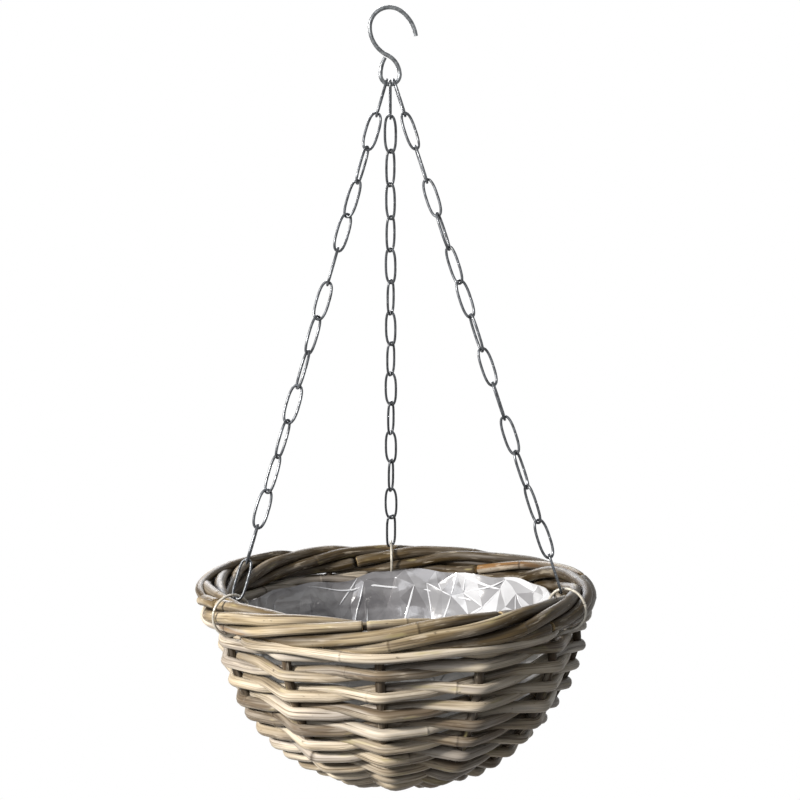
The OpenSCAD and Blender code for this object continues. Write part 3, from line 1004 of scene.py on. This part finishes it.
def liner():
    facets, facet_milk_and_light, white = film_net()
    points, faces, milk_and_light, facet_of = [], [], [], []
    for number, (corners, milkiness_and_light) in enumerate(zip(facets, facet_milk_and_light)):
        cell_points, cells = facet_cells(corners, len(points))
        points += cell_points
        faces += cells
        milk_and_light += [milkiness_and_light] * len(cells)
        facet_of += [number] * len(cells)
    for crease in white:
        strip_points, strip = crease_strip(*crease, len(points))
        points += strip_points
        faces += strip
        milk_and_light += [1.0] * len(strip)
        facet_of += [-1] * len(strip)
    points = np.array(points)
    bulge(points)
    made = new_piece("liner_film", points, faces, FILM)
    made.data.polygons.foreach_set("use_smooth", [True] * len(faces))
    made.data.attributes.new("film_milk_and_light", "FLOAT", "FACE").data.foreach_set("value", milk_and_light)
    weld_facets(made.data, facet_of)
    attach(made, "basket")
    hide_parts("liner")


# Links: bent wire, butted halfway down one side. Their sides bow outwards, and their solids' are straight

LINK_BOW = 0.6 * MM
# Exponent of a link's rounded outline: 2 is an oval. The last link is squarer, so that its ring turns freely
ROUNDED, SQUARER = 2.6, 3.6
# Rings of points along the wire, and points in each
LINK_RINGS, LINK_SIDES = 42, 10
# The butt joint: its own rings of points, its half width, and its depth as a share of the wire's radius
BUTT_RINGS = [x * MM for x in (-0.35, 0, 0.35)]
BUTT_HALF = 0.2 * MM
BUTT_SHARE = 0.2


def link(name):
    """One link in its solid's place."""
    spots = np.array([v.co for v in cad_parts[name].data.vertices])
    middle = (spots.min(axis=0) + spots.max(axis=0)) / 2
    long_way, wide_way, _ = np.linalg.svd(spots - middle, full_matrices=False)[2]
    through = np.cross(wide_way, long_way)
    half_l, half_w = (np.abs((spots - middle) @ way).max() - LINK_WIRE / 2 for way in (long_way, wide_way))
    power = 2 / (SQUARER if name.endswith("_15") else ROUNDED)
    turn = np.linspace(0, TURN, 721)
    outline = np.stack([half * np.sign(wave) * np.abs(wave) ** power for half, wave in (
        (half_l, np.cos(turn)), (half_w + LINK_BOW, np.sin(turn)))], axis=1)
    run = running_length(outline)
    butt = run[-1] / 4
    even = np.linspace(0, run[-1], LINK_RINGS + 1)[:-1]
    stations = np.array(sorted({*even, *(butt + d for d in BUTT_RINGS)}))
    wire = LINK_WIRE / 2 * (1 - BUTT_SHARE * np.exp(-((stations - butt) / BUTT_HALF) ** 2))
    flat = at_stations(stations, run, outline)
    ahead = np.roll(flat, -1, axis=0) - np.roll(flat, 1, axis=0)
    out = np.stack([ahead[:, 1], -ahead[:, 0]], axis=1) / np.linalg.norm(ahead, axis=1)[:, None]
    around = np.arange(LINK_SIDES) * TURN / LINK_SIDES
    in_plane = flat[:, None, :] + (wire[:, None] * np.cos(around))[:, :, None] * out[:, None, :]
    points = (middle + in_plane[:, :, :1] * long_way + in_plane[:, :, 1:] * wide_way
              + (wire[:, None] * np.sin(around))[:, :, None] * through)
    faces = tube_faces(len(stations), LINK_SIDES, closed=True)
    made = new_piece(name + "_bent", points.reshape(-1, 3), faces, CHAIN_WIRE)
    made.data.polygons.foreach_set("use_smooth", [True] * len(faces))
    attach(made, name)
    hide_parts(name)


border()
rim_rods()
weave()
stakes()
base_binding()
liner()
for name in sorted(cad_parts):
    if "_link_" in name:
        link(name)

# The hook and the rings keep their solids' shape and get their wire's finish
for name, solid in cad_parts.items():
    if name == "s_hook" or name.endswith("_ring"):
        solid.data.materials.clear()
        solid.data.materials.append(HOOK_WIRE if name == "s_hook" else RING_WIRE)
        solid.data.polygons.foreach_set("use_smooth", [True] * len(solid.data.polygons))


# Studio: a pale floor under the basket, a white surround, and soft light from the left, front and rear

FLOOR_R = 1.15
FLOOR_Z = -1.12
FLOOR_EDGES = 96


def floor():
    material, tree, out = new_material("floor_matt_white")
    # It looks white but throws little light back up
    seen = add(tree, "LightPath").outputs["Is Diffuse Ray"]
    colour = add(tree, "MixRGB", {"Fac": seen, "Color1": linear("efefef"), "Color2": linear("6a6864")})
    paint = add(tree, "BsdfPrincipled", {"Base Color": colour.outputs["Color"], "Roughness": 0.9})
    # From below it is clear, so that it doesn't hide the basket
    clear = add(tree, "BsdfTransparent")
    back = add(tree, "NewGeometry").outputs["Backfacing"]
    both = add(tree, "MixShader", {0: back, 1: paint.outputs["BSDF"], 2: clear.outputs["BSDF"]})
    tree.links.new(both.outputs["Shader"], out.inputs["Surface"])
    edge = [round_axis(FLOOR_R, TURN * i / FLOOR_EDGES, FLOOR_Z) for i in range(FLOOR_EDGES)]
    made = new_piece("floor", edge, [list(range(FLOOR_EDGES))], material)


def surround():
    world = bpy.data.worlds.new("studio")
    bpy.context.scene.world = world
    world.use_nodes = True
    tree = world.node_tree
    tree.nodes.clear()
    # The camera, gloss and clear film see plain white, and only soft light falls on the basket
    rays = add(tree, "LightPath").outputs
    seen = rays["Is Camera Ray"]
    for kind in ("Is Glossy Ray", "Is Transmission Ray"):
        seen = add(tree, "Math", {0: seen, 1: rays[kind]}, operation="MAXIMUM").outputs[0]
    white = add(tree, "Background", {"Color": linear("ffffff"), "Strength": 1.0})
    soft = add(tree, "Background", {"Color": linear("e8eef6"), "Strength": 0.11})
    mix = add(tree, "MixShader", {0: seen, 1: soft.outputs[0], 2: white.outputs[0]})
    out = add(tree, "OutputWorld")
    tree.links.new(mix.outputs["Shader"], out.inputs["Surface"])


def lamp(name, at, aim, size, power, tint):
    """A round soft lamp, with its width in metres and its power in watts."""
    data = bpy.data.lights.new(name, "AREA")
    data.shape = "DISK"
    data.size = size
    data.energy = power
    data.color = linear(tint)[:3]
    made = bpy.data.objects.new(name, data)
    bpy.context.collection.objects.link(made)
    made.location = at
    made.rotation_euler = (Vector(aim) - Vector(at)).to_track_quat("-Z", "Y").to_euler()


# Camera: its place, turn and lens are fitted to the chains' joints and the rim in the photograph

CAMERA_PLACE = (-0.0368, -1.1971, -0.179)
CAMERA_YAW, CAMERA_DOWN, CAMERA_ROLL = -1.968, 5.112, -0.693
FOCAL_PX, FRAME_PX = 1613.4, 800


def camera():
    data = bpy.data.cameras.new("camera")
    data.sensor_width = 36
    data.lens = FOCAL_PX / FRAME_PX * data.sensor_width
    data.clip_start = 0.05
    made = bpy.data.objects.new("camera", data)
    bpy.context.collection.objects.link(made)
    yaw, pitch, roll = (Matrix.Rotation(math.radians(angle), 4, axis) for angle, axis in (
        (CAMERA_YAW, "Z"), (90 - CAMERA_DOWN, "X"), (CAMERA_ROLL, "Z")))
    made.matrix_world = Matrix.Translation(CAMERA_PLACE) @ yaw @ pitch @ roll
    bpy.context.scene.camera = made


floor()
surround()
basket_middle = (0, 0, RIM_Z - 60 * MM)
lamp("key", at=(-1.76, -1.19, 0.5), aim=basket_middle, size=0.35, power=104, tint="fffaf3")
lamp("fill", at=(-1.0, -2.0, 0.6), aim=basket_middle, size=1.6, power=22, tint="f2f4fa")
lamp("rear", at=(-0.3, 2.2, 0.6), aim=basket_middle, size=1.4, power=48, tint="f2f4fa")
camera()
bpy.context.scene.view_settings.view_transform = "Standard"
